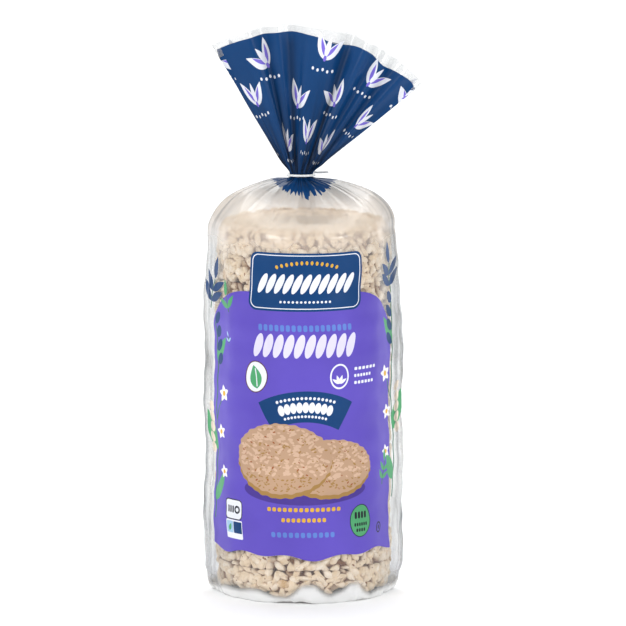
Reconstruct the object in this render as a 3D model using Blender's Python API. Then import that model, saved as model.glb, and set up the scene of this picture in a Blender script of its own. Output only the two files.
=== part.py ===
"""A sealed clear film bag of puffed rice cakes, standing on its flat base.

The bag is one tube of film: it wraps a stack of round cakes, closes over the top of the stack,
gathers into a flat neck and opens again above the tie as a pleated fan. It is modelled as the
filled bag, solid out to the film. A coated wire tie is wound once round the neck.

Metres, +Z up, front towards -Y. The origin is on the stack's axis, in the plane it stands on.
"""

import math

import bmesh
import bpy
from mathutils import Vector

# The stack of cakes that the film is drawn over.
CAKE_RADIUS = 0.0470
CAKE_THICKNESS = 0.0158
CAKE_COUNT = 13
CAKE_SHIFT = 0.0005  # how far a cake sits off the stack's axis
SWAY_X, SWAY_Y = 1.7, 1.1  # how fast that shift turns from cake to cake, in radians
FLOOR_GAP = 0.0030  # folded film and slack under the bottom cake

# The film round the stack.
FILM_SLACK = 0.0012  # how far the film stands off the cakes
RIB = 0.0005  # how deep the film dips between two cakes
LEFT_RIDGE, RIGHT_RIDGE = 0.0069, 0.0068  # loose film standing out along each side
LEFT_FULL, RIGHT_FULL = 0.014, 0.018  # height at which each ridge is full
LEFT_AT_RIM, RIGHT_AT_RIM = 0.70, 0.42  # share of each ridge that is left at the rim
RIDGE_FADE = 0.150  # height from which the ridges draw in again

# The folded base.
BASE_HALF_WIDTH, BASE_HALF_DEPTH = 0.0460, 0.0425
BASE_SHIFT = 0.0006  # the folds lie a little off the axis
CORNER = 0.0100  # height over which the base rounds up into the wall

# The dome over the top cake, and the gathered neck.
RIM_DROP = 0.004  # the film starts to draw in this far below the top of the stack
RIM_HEIGHT = FLOOR_GAP + CAKE_COUNT * CAKE_THICKNESS - RIM_DROP
DOME_TAUTNESS = 0.75  # front and back: 0 is a round dome, 1 a straight slope up to the neck
DOME_LEAN = 0.0022  # the dome is fuller on the right
NECK_LOW, NECK_HIGH = 0.2318, 0.2346
NECK_HALF_WIDTH, NECK_HALF_DEPTH = 0.0065, 0.0028
NECK_SHIFT = -0.0012  # the neck is drawn a little to the left
GATHERS = 16  # pleats that run down over the dome
GATHER_DEPTH = 0.0014
GATHER_AT_NECK = 0.0002

# The fan above the tie. Its cut edge is an arc round a point under the tie. Angles are from
# straight up, and positive towards +X.
FAN_LEFT, FAN_RIGHT = math.radians(-30.3), math.radians(48.6)
FAN_CENTRE_X, FAN_CENTRE_HEIGHT = -0.0029, 0.2231
FAN_RADIUS, FAN_SHORTER = 0.0952, 0.0030  # the radius at the left, and how much less at the right
FAN_FOLD_GROWTH = 0.8  # the power by which the folds deepen away from the tie
FAN_FOLD_ROUNDING = 0.012  # half the width over which a crease is rounded, as a share
# The fan's folds: (place across it from -1 to 1, how far it stands back or forward).
FAN_FOLDS = (
    (-1.00, 0.0024),
    (-0.66, -0.0036),
    (-0.54, 0.0040),
    (-0.42, -0.0010),
    (-0.30, 0.0042),
    (-0.14, -0.0034),
    (0.12, -0.0020),
    (0.24, 0.0044),
    (0.40, -0.0036),
    (0.50, 0.0030),
    (0.60, -0.0030),
    (0.70, 0.0034),
    (0.82, -0.0028),
    (0.92, 0.0020),
    (1.00, 0.0008),
)
FAN_MOUTH = 0.0046  # half the gap between the front and the back sheet

# The coated wire tie.
TIE_RADIUS = 0.00065
TIE_HEIGHT = 0.2333
TIE_CLEARANCE = 0.0005  # wire to film, over the gathers
TWIST_RADIUS = 0.00105
TWIST_HEADING = math.radians(62.0)  # it points back and a little to the right
TWIST_LENGTH, TWIST_TURNS = 0.0045, 1.5
LONG_TAIL = Vector((0.0080, -0.0010, 0.0006))  # the end that shows, out to the right
SHORT_TAIL, SHORT_TAIL_RISE = 0.0025, 0.0010

# How finely each surface is faceted.
AROUND = 88
CORNER_RINGS, DOME_RINGS, NECK_RINGS = 4, 7, 3
RINGS_PER_CAKE = 2
FAN_RINGS = 8
TIE_LOOP_POINTS, TIE_TWIST_POINTS, TIE_TAIL_POINTS = 40, 16, 6
TIE_SMOOTHING = 6


def smooth_step(low, high, value):
    """0 below low, 1 above high, and an even curve between them."""
    t = min(max((value - low) / (high - low), 0.0), 1.0)
    return t * t * (3.0 - 2.0 * t)


def angles():
    """The directions of a section's points, from +X round through the back."""
    return [math.tau * i / AROUND for i in range(AROUND)]


def across(angle):
    """Where a direction lies across the fan: -1 at the left fold, 1 at the right one."""
    return math.asin(max(-1.0, min(1.0, math.cos(angle)))) / (math.pi / 2)


# ---------------------------------------------------------------- the wrapped stack


def film_core(height):
    """The film's distance from the axis where it lies on the cakes."""
    into_cake = (height - FLOOR_GAP) / CAKE_THICKNESS
    return CAKE_RADIUS + FILM_SLACK - RIB * math.cos(math.tau * into_cake)


def ridge(height, left):
    """How far the loose film of the left or the right side stands off the stack."""
    full = LEFT_RIDGE if left else RIGHT_RIDGE
    rising = smooth_step(0.0, LEFT_FULL if left else RIGHT_FULL, height)
    fading = smooth_step(RIDGE_FADE, RIM_HEIGHT, height)
    lost = 1.0 - (LEFT_AT_RIM if left else RIGHT_AT_RIM)
    return full * rising * (1.0 - lost * fading)


def stack_shift(height):
    """The cakes are not stacked quite true, so the film leans a little with them."""
    cake = (height - FLOOR_GAP) / CAKE_THICKNESS
    return Vector((math.sin(SWAY_X * cake), math.cos(SWAY_Y * cake), 0.0)) * CAKE_SHIFT


def wall_section(height):
    """The film round the stack: a circle, with a straight pull to a ridge at each side."""
    core = film_core(height)
    points = []
    for angle in angles():
        bend = math.acos(core / (core + ridge(height, math.cos(angle) < 0.0)))
        from_side = abs(math.remainder(angle, math.pi))
        radius = core / math.cos(max(bend - from_side, 0.0))
        outward = Vector((math.cos(angle), math.sin(angle), 0.0))
        points.append(outward * radius + stack_shift(height) + Vector((0.0, 0.0, height)))
    return points


def base_section():
    """The flat folded film that the bag stands on."""
    return [
        Vector((BASE_SHIFT + BASE_HALF_WIDTH * math.cos(a), BASE_HALF_DEPTH * math.sin(a), 0.0))
        for a in angles()
    ]


def base_sections():
    """The base, rounded up into the wall."""
    foot, wall = base_section(), wall_section(CORNER)
    sections = []
    for ring in range(CORNER_RINGS):
        turn = math.pi / 2 * ring / CORNER_RINGS
        section = [a.lerp(b, math.sin(turn)) for a, b in zip(foot, wall)]
        for point in section:
            point.z = CORNER * (1.0 - math.cos(turn))
        sections.append(section)
    return sections


def wall_sections():
    rings = RINGS_PER_CAKE * CAKE_COUNT
    return [
        wall_section(CORNER + (RIM_HEIGHT - CORNER) * ring / rings) for ring in range(rings)
    ]


# ---------------------------------------------------------------- the gathered top


def neck_section(height):
    """The gathered film under and over the tie, flattened to a small ellipse."""
    points = []
    for angle in angles():
        gather = GATHER_AT_NECK * math.cos(GATHERS * angle)
        points.append(
            Vector(
                (
                    NECK_SHIFT + (NECK_HALF_WIDTH + gather) * math.cos(angle),
                    (NECK_HALF_DEPTH + gather) * math.sin(angle),
                    height,
                )
            )
        )
    return points


def dome_sections():
    """The film drawn in over the top cake: full at both sides, taut at the front and the back."""
    rim, neck = wall_section(RIM_HEIGHT), neck_section(NECK_LOW)
    sections = []
    for ring in range(DOME_RINGS):
        turn = math.pi / 2 * ring / DOME_RINGS
        # Pleats start past the rim and are pressed flat again at the tie.
        depth = GATHER_DEPTH * math.sin(2.0 * turn) * math.sin(turn)
        section = []
        for angle, outer, inner in zip(angles(), rim, neck):
            taut = DOME_TAUTNESS * math.sin(angle) ** 2
            rise = (1.0 - taut) * math.sin(turn) + taut * (1.0 - math.cos(turn))
            point = inner.lerp(outer, math.cos(turn))
            point.x += DOME_LEAN * math.sin(2.0 * turn)
            point.z = RIM_HEIGHT + (NECK_LOW - RIM_HEIGHT) * rise
            point.z += depth * math.cos(GATHERS * angle)
            section.append(point)
        sections.append(section)
    return sections


def neck_sections():
    step = (NECK_HIGH - NECK_LOW) / (NECK_RINGS - 1)
    return [neck_section(NECK_LOW + step * ring) for ring in range(NECK_RINGS)]


# ---------------------------------------------------------------- the fan


def folded(place):
    """How far the film stands back at this place across the fan, straight between the folds."""
    place = min(max(place, FAN_FOLDS[0][0]), FAN_FOLDS[-1][0])
    for (left, start), (right, end) in zip(FAN_FOLDS, FAN_FOLDS[1:]):
        if place <= right:
            return start + (end - start) * (place - left) / (right - left)
    return FAN_FOLDS[-1][1]


def fold_depth(place):
    """The same with its creases a little rounded."""
    return sum(folded(place + step * FAN_FOLD_ROUNDING) for step in (-2, -1, 0, 1, 2)) / 5


def fan_tip(place):
    """Where the cut edge of the film is, at this place across the fan."""
    share = (place + 1.0) / 2.0
    lean = FAN_LEFT + (FAN_RIGHT - FAN_LEFT) * share
    radius = FAN_RADIUS - FAN_SHORTER * share
    x = FAN_CENTRE_X + radius * math.sin(lean)
    return Vector((x, 0.0, FAN_CENTRE_HEIGHT + radius * math.cos(lean)))


def fan_section(share):
    """The film at this share of the fan's length: a front and a back sheet on one set of folds."""
    points = []
    for angle in angles():
        place = across(angle)
        gathered = Vector((NECK_SHIFT + NECK_HALF_WIDTH * math.cos(angle), 0.0, NECK_HIGH))
        point = gathered.lerp(fan_tip(place), share)
        gap = NECK_HALF_DEPTH + (FAN_MOUTH - NECK_HALF_DEPTH) * share
        point.y = share**FAN_FOLD_GROWTH * fold_depth(place) + gap * math.sin(angle)
        points.append(point)
    return points


def fan_sections():
    return [fan_section((ring + 1) / FAN_RINGS) for ring in range(FAN_RINGS)]


# ---------------------------------------------------------------- building the nodes


def new_collection():
    collection = bpy.data.collections.new("rice_cake_bag")
    bpy.context.scene.collection.children.link(collection)
    return collection


def plastic(name, colour, roughness):
    material = bpy.data.materials.new(name)
    material.use_nodes = True
    shader = material.node_tree.nodes["Principled BSDF"]
    shader.inputs["Base Color"].default_value = (*colour, 1.0)
    shader.inputs["Roughness"].default_value = roughness
    shader.inputs["Metallic"].default_value = 0.0
    return material


def lofted(name, sections):
    """One closed mesh through a row of sections, with a flat foot and a ruled top edge."""
    mesh = bmesh.new()
    rows = [[mesh.verts.new(point) for point in section] for section in sections]
    for lower, upper in zip(rows, rows[1:]):
        for i in range(AROUND):
            j = (i + 1) % AROUND
            mesh.faces.new((lower[i], lower[j], upper[j], upper[i]))
    mesh.faces.new(reversed(rows[0]))
    # The top edge is closed from the front sheet straight across to the back sheet.
    top, half = rows[-1], AROUND // 2
    for i in range(half):
        front, front_next = -i % AROUND, -(i + 1) % AROUND
        corners = (top[i], top[i + 1], top[front_next], top[front])
        mesh.faces.new(dict.fromkeys(corners))
    bmesh.ops.recalc_face_normals(mesh, faces=mesh.faces)
    data = bpy.data.meshes.new(name)
    mesh.to_mesh(data)
    mesh.free()
    data.shade_smooth()
    return bpy.data.objects.new(name, data)


def build_bag(collection):
    sections = [
        *base_sections(),
        *wall_sections(),
        *dome_sections(),
        *neck_sections(),
        *fan_sections(),
    ]
    bag = lofted("bag", sections)
    bag.data.materials.append(plastic("printed_film", (0.62, 0.56, 0.72), 0.25))
    collection.objects.link(bag)


def smoothed(points):
    """The same route with its corners rounded, ends kept."""
    for _ in range(TIE_SMOOTHING):
        inner = [
            (before + here * 2.0 + after) / 4.0
            for before, here, after in zip(points, points[1:], points[2:])
        ]
        points = [points[0], *inner, points[-1]]
    return points


def tie_route():
    """The wire's middle line: out of one tail, through the twist, round the neck and back."""
    half_width = NECK_HALF_WIDTH + GATHER_AT_NECK + TIE_CLEARANCE + TIE_RADIUS
    half_depth = NECK_HALF_DEPTH + GATHER_AT_NECK + TIE_CLEARANCE + TIE_RADIUS
    outward = Vector((math.cos(TWIST_HEADING), math.sin(TWIST_HEADING), 0.0))
    sideways = Vector((-outward.y, outward.x, 0.0))
    upward = Vector((0.0, 0.0, 1.0))

    def round_neck(angle):
        x = NECK_SHIFT + half_width * math.cos(angle)
        return Vector((x, half_depth * math.sin(angle), 0.0))

    def strand(side):
        """One of the two twisted strands, from the loop outwards, ending in its tail."""
        route = []
        for i in range(1, TIE_TWIST_POINTS + 1):
            share = i / TIE_TWIST_POINTS
            turn = math.tau * TWIST_TURNS * share
            off_axis = sideways * math.cos(turn) + upward * math.sin(turn)
            along = outward * (TWIST_RADIUS + TWIST_LENGTH * share)
            route.append(root + along + off_axis * side * TWIST_RADIUS)
        short = outward * SHORT_TAIL + upward * SHORT_TAIL_RISE
        step = (LONG_TAIL if side > 0 else short) / TIE_TAIL_POINTS
        for _ in range(TIE_TAIL_POINTS):
            route.append(route[-1] + step)
        return route

    root = round_neck(TWIST_HEADING)
    # The loop stops short of the twist by one radius on each side.
    leave = TWIST_RADIUS / root.length
    first, last = TWIST_HEADING + leave, TWIST_HEADING + math.tau - leave
    neck = [
        round_neck(first + (last - first) * i / TIE_LOOP_POINTS)
        for i in range(TIE_LOOP_POINTS + 1)
    ]
    route = [*reversed(strand(1.0)), *neck, *strand(-1.0)]
    return [point + upward * TIE_HEIGHT for point in smoothed(route)]


def build_tie(collection):
    curve = bpy.data.curves.new("tie", "CURVE")
    curve.dimensions = "3D"
    curve.bevel_depth = TIE_RADIUS
    curve.bevel_resolution = 2
    curve.use_fill_caps = True
    route = tie_route()
    spline = curve.splines.new("POLY")
    spline.points.add(len(route) - 1)
    for point, place in zip(spline.points, route):
        point.co = (*place, 1.0)
    tie = bpy.data.objects.new("tie", curve)
    curve.materials.append(plastic("coated_wire", (0.88, 0.88, 0.86), 0.4))
    collection.objects.link(tie)


def main():
    for obj in list(bpy.data.objects):
        bpy.data.objects.remove(obj)
    collection = new_collection()
    build_bag(collection)
    build_tie(collection)


main()
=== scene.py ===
"""A clear film bag of puffed rice cakes, tied at the neck: the cakes, the film, its print, the tie.

Metres, +Z up, front towards -Y. The origin is on the stack's axis, on the floor.
"""

import math

import bmesh
import bpy
import numpy as np
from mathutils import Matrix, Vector, kdtree, noise
from mathutils.geometry import delaunay_2d_cdt


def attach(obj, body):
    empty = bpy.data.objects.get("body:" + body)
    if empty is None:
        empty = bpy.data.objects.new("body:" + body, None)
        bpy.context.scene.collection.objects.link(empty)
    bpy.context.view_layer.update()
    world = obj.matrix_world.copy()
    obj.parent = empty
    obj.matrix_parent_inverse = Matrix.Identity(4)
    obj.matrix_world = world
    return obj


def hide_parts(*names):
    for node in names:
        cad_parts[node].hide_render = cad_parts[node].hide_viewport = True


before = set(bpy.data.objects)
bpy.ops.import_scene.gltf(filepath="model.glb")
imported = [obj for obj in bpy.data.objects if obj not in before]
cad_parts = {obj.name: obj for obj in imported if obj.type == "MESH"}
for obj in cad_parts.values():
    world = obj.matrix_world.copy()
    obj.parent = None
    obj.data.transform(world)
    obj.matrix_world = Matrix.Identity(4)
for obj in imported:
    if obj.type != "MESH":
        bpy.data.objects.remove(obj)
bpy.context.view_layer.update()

# ---------------------------------------------------------------- the rice cakes
# Thirteen round cakes of puffed brown rice, popped and fused in a hot mould, stand in one stack.
# Each is a crust of swollen kernels on a porous middle, and is flush where the mould held it.

CAKE_COUNT, CAKE_RADIUS, CAKE_THICKNESS = 13, 0.0470, 0.0158
FLOOR_GAP = 0.0030  # folded film and slack under the bottom cake
CAKE_SHIFT, SWAY_X, SWAY_Y = 0.0005, 1.7, 1.1  # the stack isn't quite true
SIDE_ROOM = 0.0018  # how much further the cakes spread at the sides, where the film leaves room
KERNELS_ROUND, KERNEL_ROWS = 54, (-0.0063, -0.0032, 0.0, 0.0032, 0.0063)
KERNEL_LENGTH, KERNEL_WIDTH, KERNEL_DEPTH = 0.0038, 0.0022, 0.0027  # half sizes
KERNEL_SHAPES = 24
# The crevice colour is painted shade, partly the gaps' own toasted brown.
CREVICE_DEPTH = 0.0024  # how far in a gap between two kernels looks fully dark
LUMPS = ((0.0009, 0.0028), (0.0013, 0.0085))  # (height, spacing) of the popped starch's lumps
MIDDLE_RADIUS, MIDDLE_HALF = CAKE_RADIUS - 0.0022, 0.0074


def stack_shift(height):
    """How far the stack leans off its axis at this height."""
    cake = (height - FLOOR_GAP) / CAKE_THICKNESS
    return CAKE_SHIFT * np.sin(SWAY_X * cake), CAKE_SHIFT * np.cos(SWAY_Y * cake)


def srgb(code):
    """An sRGB hex colour as the linear RGBA that a shader takes."""
    shares = (int(code[i : i + 2], 16) / 255 for i in (1, 3, 5))
    return (*(c / 12.92 if c <= 0.04045 else ((c + 0.055) / 1.055) ** 2.4 for c in shares), 1.0)


def new_material(name):
    material = bpy.data.materials.new(name)
    material.use_nodes = True
    material.node_tree.nodes.clear()
    return material, material.node_tree


def add(tree, kind, sockets=None, stops=(), **settings):
    """One node: settings are its properties, sockets its inputs' values or links, stops a ramp's
    (place, hex colour) pairs."""
    made = tree.nodes.new("ShaderNode" + kind)
    for i, (place, code) in enumerate(stops):
        elements = made.color_ramp.elements
        stop = elements[i] if i < len(elements) else elements.new(place)
        stop.position, stop.color = place, srgb(code)
    for name, value in settings.items():
        setattr(made, name, value)
    for name, value in (sockets or {}).items():
        if isinstance(value, bpy.types.NodeSocket):
            tree.links.new(value, made.inputs[name])
        else:
            made.inputs[name].default_value = value
    return made


def mesh_piece(name, points, faces, materials, attributes=None):
    """A smooth-shaded mesh of triangles with its named point attributes."""
    mesh = bpy.data.meshes.new(name)
    mesh.vertices.add(len(points))
    mesh.vertices.foreach_set("co", np.asarray(points, np.float32).ravel())
    mesh.loops.add(len(faces) * 3)
    mesh.loops.foreach_set("vertex_index", np.asarray(faces, np.int32).ravel())
    mesh.polygons.add(len(faces))
    mesh.polygons.foreach_set("loop_start", np.arange(0, len(faces) * 3, 3, dtype=np.int32))
    mesh.update(calc_edges=True)
    mesh.shade_smooth()
    for label, values in (attributes or {}).items():
        layer = mesh.attributes.new(label, "FLOAT", "POINT")
        layer.data.foreach_set("value", np.asarray(values, np.float32))
    for material in materials:
        mesh.materials.append(material)
    piece = bpy.data.objects.new(name, mesh)
    bpy.context.scene.collection.objects.link(piece)
    return piece


def unit_ball():
    """Points and triangles of a ball of radius 1, its poles on X."""
    ball = bmesh.new()
    bmesh.ops.create_uvsphere(ball, u_segments=10, v_segments=8, radius=1.0)
    bmesh.ops.triangulate(ball, faces=ball.faces)
    points = np.array([v.co for v in ball.verts])[:, [2, 0, 1]]
    faces = np.array([[v.index for v in f.verts] for f in ball.faces])
    ball.free()
    return points, faces


def popped_kernel(ball, rng):
    """One puffed kernel along X, its split side up, and how toasted each of its points is."""
    swell = np.ones(len(ball))
    for _ in range(5):
        lobe = rng.normal(size=3)
        lobe /= np.linalg.norm(lobe)
        swell += rng.uniform(-0.16, 0.22) * np.exp(-((1.0 - ball @ lobe) ** 2) / 0.10)
    along, across, upward = ball.T
    split = np.exp(-((across / 0.20) ** 2)) * np.clip(upward, 0.0, 1.0)
    swell -= rng.uniform(0.06, 0.20) * split
    size = np.array([KERNEL_LENGTH, KERNEL_WIDTH, KERNEL_DEPTH]) * rng.uniform(0.75, 1.25, 3)
    points = ball * swell[:, None] * size
    points[:, 1] += rng.uniform(-0.0007, 0.0007) * along**2
    toast = np.clip(0.75 * along**8 + 0.45 * split, 0.0, 1.0)
    return points, toast


def turned_frame(outward, spin, tilt):
    """Axes whose third looks outward, turned about it by spin and tipped by tilt."""
    out = Vector(outward).normalized()
    level = out.orthogonal().normalized() if abs(out.z) > 0.9 else Vector((-out.y, out.x, 0.0))
    up = out.cross(level)
    long = level * math.cos(spin) + up * math.sin(spin)
    third = (out + long * tilt).normalized()
    long = (long - third * long.dot(third)).normalized()
    return np.array([long, third.cross(long), third])


def porous_middle(rng):
    """The fused middle of a cake: a thick disc with a lumpy skin, in the cake's own frame."""
    around = 90
    profile = [(0.0, 1.0), (0.25, 1.0), (0.5, 1.0), (0.72, 1.0), (0.88, 1.0), (0.97, 0.9)]
    profile += [(1.0, 0.6), (1.0, 0.2), (1.0, -0.2), (1.0, -0.6), (0.97, -0.9)]
    profile += [(r, -1.0) for r in (0.88, 0.72, 0.5, 0.25, 0.0)]
    angles = np.linspace(0.0, math.tau, around, endpoint=False)
    points = np.array(
        [
            (MIDDLE_RADIUS * r * math.cos(a), MIDDLE_RADIUS * r * math.sin(a), MIDDLE_HALF * h)
            for r, h in profile
            for a in angles
        ]
    )
    drift = Vector(rng.uniform(0.0, 50.0, 3))
    lumps = np.array([noise.noise(Vector(p) / 0.0045 + drift) for p in points])
    points[:, :2] *= 1.0 + 0.030 * lumps[:, None]
    points[:, 2] *= 1.0 + 0.08 * lumps
    rows = np.arange(len(profile) * around).reshape(len(profile), around)
    a, b = rows[:-1], rows[1:]
    c, d = np.roll(b, -1, axis=1), np.roll(a, -1, axis=1)
    faces = np.concatenate([np.stack([a, b, c], -1), np.stack([a, c, d], -1)]).reshape(-1, 3)
    return points, faces


def kernel_places(cake, rng):
    """(place, outward direction) of each kernel of one cake's crust, in the cake's own frame."""
    places = []
    for row, height in enumerate(KERNEL_ROWS):
        for i in range(KERNELS_ROUND):
            if rng.random() < 0.05:
                continue  # a kernel that broke away leaves a dark pit
            angle = math.tau * (i + 0.5 * (row % 2) + rng.uniform(-0.28, 0.28)) / KERNELS_ROUND
            reach = CAKE_RADIUS - 0.0022 + rng.uniform(-0.0012, 0.0006)
            place = Vector((reach * math.cos(angle), reach * math.sin(angle), 0.0))
            place.z = height + rng.uniform(-0.0009, 0.0009)
            places.append((place, (place.x, place.y, height * 3.0)))
    face = 1.0 if cake == CAKE_COUNT - 1 else -1.0
    if cake in (0, CAKE_COUNT - 1):
        # The outer face of the end cakes, filled along a spiral as seeds fill a flower head.
        count = 330
        for i in range(count):
            reach = (CAKE_RADIUS - 0.0072) * math.sqrt((i + 0.5) / count)
            angle = i * math.pi * (3.0 - math.sqrt(5.0))
            place = Vector((reach * math.cos(angle), reach * math.sin(angle), 0.0))
            place += Vector(rng.uniform(-0.0008, 0.0008, 3))
            place.z += face * (CAKE_THICKNESS / 2 - 0.0026)
            places.append((place, (0.0, 0.0, face)))
    return places


def bottom_lift(angle):
    """The bottom cake is chipped: how far its lower edge has gone, by direction."""
    front = np.mod(angle + math.pi / 2 + math.pi, math.tau) - math.pi
    chip = np.exp(-(((front - 0.05) / 0.16) ** 2)) + 0.8 * np.exp(-(((front - 0.62) / 0.10) ** 2))
    rough = 0.20 + 0.20 * np.sin(5.0 * angle + 0.7) + 0.14 * np.sin(11.0 * angle)
    return 0.0062 * np.clip(chip + rough, 0.0, 1.0)


def rice_cake(cake, shapes, ball_faces, material):
    rng = np.random.default_rng(100 + cake)
    half = CAKE_THICKNESS / 2
    middle, faces = porous_middle(rng)
    points, triangles = [middle], [faces]
    tones, toasts = [np.full(len(middle), 0.25)], [np.zeros(len(middle))]
    start = len(middle)
    for place, outward in kernel_places(cake, rng):
        kernel, toast = shapes[rng.integers(len(shapes))]
        axes = turned_frame(outward, rng.uniform(0.0, math.tau), rng.uniform(-0.35, 0.35))
        points.append(kernel @ axes + np.array(place))
        triangles.append(ball_faces + start)
        tones.append(np.full(len(kernel), rng.random()))
        browned = 1.0 if rng.random() < 0.02 else 0.0  # a grain or two still in its bran
        toasts.append(np.clip(toast * rng.uniform(0.2, 1.0) + browned, 0.0, 1.0))
        start += len(kernel)
    points = np.concatenate(points)
    drift = Vector(rng.uniform(0.0, 50.0, 3))
    for height, spacing in LUMPS:
        lumps = [noise.noise_vector(Vector(p) / spacing + drift) for p in points]
        points = points + height * np.array(lumps)
    # The mould presses the rim and both faces nearly flush.
    reach = np.hypot(points[:, 0], points[:, 1])
    pressed = np.where(reach > CAKE_RADIUS, CAKE_RADIUS + 0.25 * (reach - CAKE_RADIUS), reach)
    spread = pressed + SIDE_ROOM * (points[:, 0] / np.maximum(reach, 1e-9)) ** 20 * pressed / CAKE_RADIUS
    points[:, :2] *= (spread / np.maximum(reach, 1e-9))[:, None]
    over = np.abs(points[:, 2]) - half
    points[:, 2] -= np.sign(points[:, 2]) * np.clip(over, 0.0, None) * 0.8
    # How deep each point lies between kernels, for the painted crevice shade.
    depth = (CAKE_RADIUS - pressed) / CREVICE_DEPTH
    if cake in (0, CAKE_COUNT - 1):
        face = 1.0 if cake else -1.0
        depth = np.minimum(depth, 0.6 * (half - face * points[:, 2]) / CREVICE_DEPTH)
    if cake == 0:
        points[:, 2] *= 0.95  # it has settled away from the next one
        share = (half - points[:, 2]) / CAKE_THICKNESS
        points[:, 2] += bottom_lift(np.arctan2(points[:, 1], points[:, 0])) * share**2
        points[:, :2] *= 1.0 - 0.03 * share[:, None] ** 3
    if cake == CAKE_COUNT - 1:
        share = (half + points[:, 2]) / CAKE_THICKNESS
        points[:, :2] *= 1.0 - 0.075 * share[:, None] ** 3
    middle_height = FLOOR_GAP + CAKE_THICKNESS * (cake + 0.5)
    shift = stack_shift(middle_height)
    points += np.array([shift[0], shift[1], middle_height])
    attributes = {
        "tone": np.concatenate(tones),
        "toast": np.concatenate(toasts),
        "depth": np.clip(depth, 0.0, 1.0),
    }
    name = f"rice_cake_{cake + 1:02d}"
    piece = mesh_piece(name, points, np.concatenate(triangles), [material], attributes)
    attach(piece, "root")
    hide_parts("bag")  # the solid bag stands for its contents too
    return piece


def puffed_rice():
    """Puffed brown rice: dry starch foam, dull and cream, with specks of bran, and painted shade in its crevices,
    where the gaps are partly toasted brown too.
    """
    material, tree = new_material("Puffed brown rice")
    place = add(tree, "TexCoord").outputs["Object"]
    tone = add(tree, "Attribute", attribute_name="tone").outputs["Fac"]
    toast = add(tree, "Attribute", attribute_name="toast").outputs["Fac"]
    depth = add(tree, "Attribute", attribute_name="depth").outputs["Fac"]
    mottle = add(tree, "TexNoise", {"Vector": place, "Scale": 330.0, "Detail": 3.0})
    creams = (0.0, "#EED7B8"), (0.35, "#F8E4CC"), (0.7, "#FCEEDC"), (1.0, "#F3D9BA")
    cream = add(tree, "ValToRGB", {"Fac": tone}, creams)
    worn = add(tree, "MapRange", {"Value": mottle.outputs["Fac"], 1: 0.35, 2: 0.75})
    skin = add(
        tree,
        "Mix",
        {0: worn.outputs["Result"], 6: cream.outputs["Color"], 7: srgb("#EAD3B2")},
        data_type="RGBA",
    )
    browned = add(tree, "Math", {0: toast, 1: worn.outputs["Result"]}, operation="MULTIPLY")
    toasted = add(
        tree,
        "Mix",
        {0: browned.outputs["Value"], 6: skin.outputs[2], 7: srgb("#BE8C44")},
        data_type="RGBA",
    )
    # Painted shade, partly the gaps' own toasted brown: the deeper a point lies between kernels, the nearer its
    # colour goes to dark brown.
    crevice_shade = add(tree, "MapRange", {"Value": depth, 1: 0.36, 2: 0.95})
    crevice_shaded = add(
        tree,
        "Mix",
        {0: crevice_shade.outputs["Result"], 6: toasted.outputs[2], 7: srgb("#7C4C26")},
        data_type="RGBA",
    )
    # Bran: specks of 1 to 2 mm where the husk's skin stayed on.
    bran_noise = add(tree, "TexNoise", {"Vector": place, "Scale": 420.0, "Detail": 1.0})
    bran = add(tree, "MapRange", {"Value": bran_noise.outputs["Fac"], 1: 0.70, 2: 0.76})
    flecked = add(
        tree,
        "Mix",
        {0: bran.outputs["Result"], 6: crevice_shaded.outputs[2], 7: srgb("#8A5630")},
        data_type="RGBA",
    )
    pores = add(tree, "TexNoise", {"Vector": place, "Scale": 480.0, "Detail": 4.0})
    relief = add(
        tree,
        "Bump",
        {"Height": pores.outputs["Fac"], "Strength": 0.9, "Distance": 0.0010},
    )
    surface = add(
        tree,
        "BsdfPrincipled",
        {
            "Base Color": flecked.outputs[2],
            "Roughness": 0.82,
            "IOR": 1.45,
            "Specular IOR Level": 0.3,
            "Normal": relief.outputs["Normal"],
        },
    )
    add(tree, "OutputMaterial", {"Surface": surface.outputs["BSDF"]})
    return material


ball_points, ball_faces = unit_ball()
shape_rng = np.random.default_rng(7)
kernel_shapes = [popped_kernel(ball_points, shape_rng) for _ in range(KERNEL_SHAPES)]
rice = puffed_rice()
cakes = [rice_cake(cake, kernel_shapes, ball_faces, rice) for cake in range(CAKE_COUNT)]

# ---------------------------------------------------------------- the film
# One tube of clear polypropylene film, 30 microns thick, drawn over the stack. It is folded flat
# under it, gathered to a neck over it, and opens above the tie as a pleated fan.
# A place on it is (s, w): s is the way round from the front's centre line, w the way up.

FILM_RADIUS = 0.0484
HALF_ROUND = math.pi * FILM_RADIUS
FILM_SLACK, RIB = 0.0012, 0.0002
LEFT_RIDGE, RIGHT_RIDGE = 0.0069, 0.0068  # loose film standing out along each side
LEFT_FULL, RIGHT_FULL = 0.014, 0.018
LEFT_AT_RIM, RIGHT_AT_RIM = 0.70, 0.42
RIDGE_FADE = 0.150
BASE_HALF_WIDTH, BASE_HALF_DEPTH, BASE_SHIFT = 0.0460, 0.0425, 0.0006
CORNER = 0.0100
RIM_HEIGHT = FLOOR_GAP + CAKE_COUNT * CAKE_THICKNESS - 0.004
DOME_TAUTNESS, DOME_LEAN = 0.75, 0.0022
NECK_LOW, NECK_HIGH = 0.2318, 0.2346
NECK_HALF_WIDTH, NECK_HALF_DEPTH, NECK_SHIFT = 0.0065, 0.0028, -0.0012
FAN_LEFT, FAN_RIGHT = math.radians(-30.3), math.radians(48.6)
FAN_CENTRE_X, FAN_CENTRE_HEIGHT = -0.0029, 0.2231
FAN_RADIUS, FAN_SHORTER = 0.0952, 0.0030
FAN_MOUTH = 0.0046
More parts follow.
